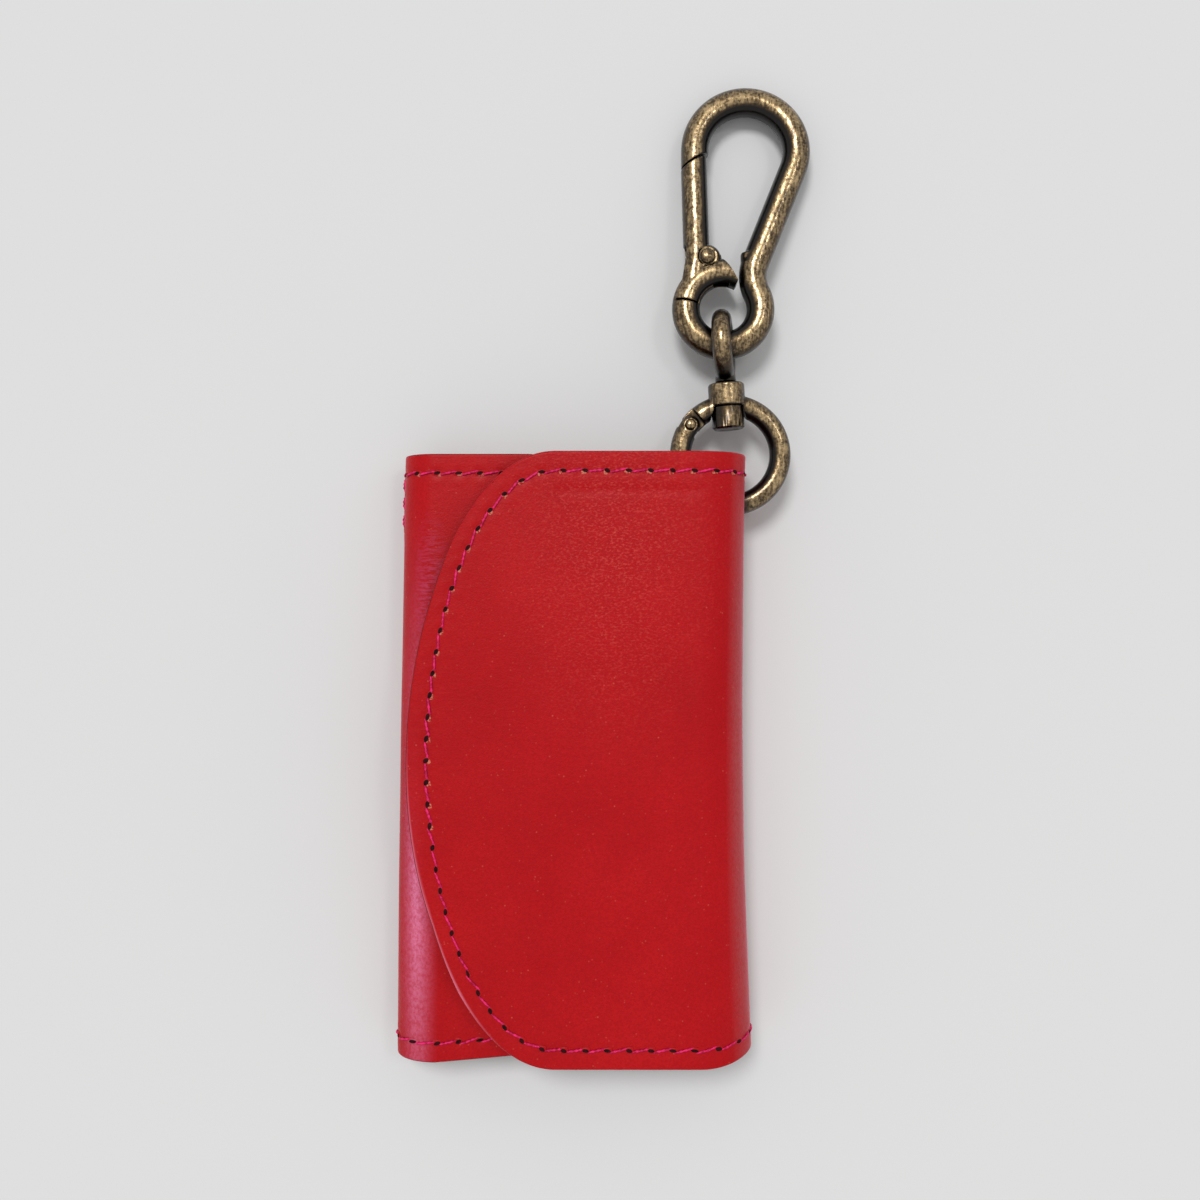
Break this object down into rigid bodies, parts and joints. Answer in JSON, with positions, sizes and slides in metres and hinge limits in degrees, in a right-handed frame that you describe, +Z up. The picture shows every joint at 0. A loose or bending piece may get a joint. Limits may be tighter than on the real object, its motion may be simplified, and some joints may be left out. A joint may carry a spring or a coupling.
{
  "type": "key case",
  "caption": "Folding leather key case: overlapping flaps with a hidden snap close over swivelling key loops, with a gate ring, swivel and sprung snap hook through its fold.",
  "frame": {"origin": "middle of the back panel's outer face, on the surface that the case lies on", "axes": "+X to the right across the case, +Y along the case towards the snap hook, +Z up out of the back panel"},
  "size_m": [0.0728, 0.1731, 0.016],
  "materials": {
    "outer_leather": "smooth polished leather",
    "lining_leather": "matt lining leather",
    "antique_brass": "antique brass",
    "spring_steel": "spring steel"
  },
  "bodies": {
    "case": {"back_leather": "outer_leather", "back_lining": "lining_leather", "key_bar_strip": "lining_leather", "key_bar_plate": "antique_brass", "key_bar_rivets": "antique_brass"},
    "front_flap": {"front_flap_leather": "outer_leather", "front_flap_lining": "lining_leather", "snap_socket": "antique_brass", "snap_socket_washer": "antique_brass"},
    "left_flap": {"left_flap_leather": "outer_leather", "left_flap_lining": "lining_leather", "snap_stud": "antique_brass", "snap_stud_cap": "antique_brass"},
    "ring": {"ring_body": "antique_brass", "ring_gate_pin": "antique_brass"},
    "ring_latch": {"ring_gate": "antique_brass", "ring_gate_spring": "spring_steel"},
    "swivel": {"swivel_eye": "antique_brass", "swivel_button": "antique_brass"},
    "hook": {"hook_body": "antique_brass", "hook_gate_pin": "antique_brass"},
    "hook_latch": {"hook_gate": "antique_brass", "hook_gate_spring": "spring_steel"},
    "key_swivel_1": {"key_hook_1": "antique_brass", "key_loop_1": "antique_brass"},
    "key_swivel_2": {"key_hook_2": "antique_brass", "key_loop_2": "antique_brass"},
    "key_swivel_3": {"key_hook_3": "antique_brass", "key_loop_3": "antique_brass"},
    "key_swivel_4": {"key_hook_4": "antique_brass", "key_loop_4": "antique_brass"}
  },
  "joints": [
    {"name": "front_flap_fold", "type": "hinge", "parent": "case", "child": "front_flap", "pos_m": [0.02769, 0, 0.01369], "axis": [0, 1, 0], "range_deg": [0, 150]},
    {"name": "left_flap_fold", "type": "hinge", "parent": "case", "child": "left_flap", "pos_m": [-0.02834, 0, 0.00994], "axis": [0, -1, 0], "range_deg": [0, 150]},
    {"name": "ring_turn", "type": "hinge", "parent": "case", "child": "ring", "pos_m": [0.028, 0.0534, 0.0066], "axis": [0, 0, 1], "range_deg": [-60, 5]},
    {"name": "ring_gate_open", "type": "hinge", "parent": "ring", "child": "ring_latch", "pos_m": [0.02085, 0.05869, 0.0066], "axis": [0, 0, 1], "range_deg": [0, 16], "stiffness_Nm_per_rad": 0.03},
    {"name": "swivel_turn", "type": "hinge", "parent": "ring", "child": "swivel", "pos_m": [0.02735, 0.06408, 0.0066], "axis": [-0.061, 0.9981, 0], "continuous": true},
    {"name": "hook_swing", "type": "hinge", "parent": "swivel", "child": "hook", "pos_m": [0.0268, 0.07964, 0.00601], "axis": [0, 0.0883, 0.9961], "range_deg": [-45, 45]},
    {"name": "hook_gate_open", "type": "hinge", "parent": "hook", "child": "hook_latch", "pos_m": [0.0239, 0.0887, 0.00521], "axis": [0, -0.0883, -0.9961], "range_deg": [0, 25], "stiffness_Nm_per_rad": 0.05},
    {"name": "key_swivel_1_turn", "type": "hinge", "parent": "case", "child": "key_swivel_1", "pos_m": [-0.0169, 0.04, 0.0059], "axis": [0, 1, 0], "range_deg": [-45, 45]},
    {"name": "key_swivel_2_turn", "type": "hinge", "parent": "case", "child": "key_swivel_2", "pos_m": [-0.0083, 0.04, 0.0059], "axis": [0, 1, 0], "range_deg": [-45, 45]},
    {"name": "key_swivel_3_turn", "type": "hinge", "parent": "case", "child": "key_swivel_3", "pos_m": [0.0003, 0.04, 0.0059], "axis": [0, 1, 0], "range_deg": [-45, 45]},
    {"name": "key_swivel_4_turn", "type": "hinge", "parent": "case", "child": "key_swivel_4", "pos_m": [0.0089, 0.04, 0.0059], "axis": [0, 1, 0], "range_deg": [-45, 45]}
  ],
  "couplings": [
    {"joint": "left_flap_fold", "follows": "front_flap_fold", "ratio": 1}
  ]
}
